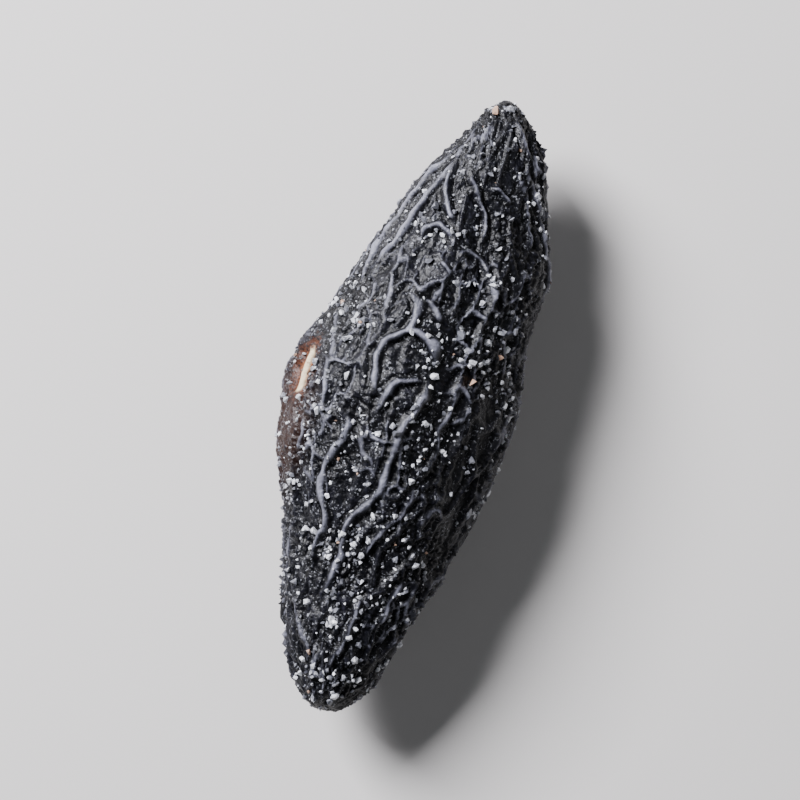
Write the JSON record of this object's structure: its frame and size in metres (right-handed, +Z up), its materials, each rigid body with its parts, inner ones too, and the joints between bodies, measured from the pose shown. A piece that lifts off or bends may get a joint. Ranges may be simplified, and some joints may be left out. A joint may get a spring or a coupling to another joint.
{
  "type": "tonka bean",
  "caption": "Dried tonka bean: a long, flattened, wrinkled black seed with a net of ridges, a scar on one flank and frosted crystals.",
  "frame": {"origin": "on the surface that the bean rests on, under the middle of its outline", "axes": "+X along the bean towards its narrow tip, +Y across it towards the fuller flank with the scar, +Z up"},
  "size_m": [0.038, 0.0143, 0.0108],
  "materials": {
    "bean_skin": "satin, wrinkled"
  },
  "bodies": {
    "root": {"tonka_bean": "bean_skin"}
  },
  "joints": []
}
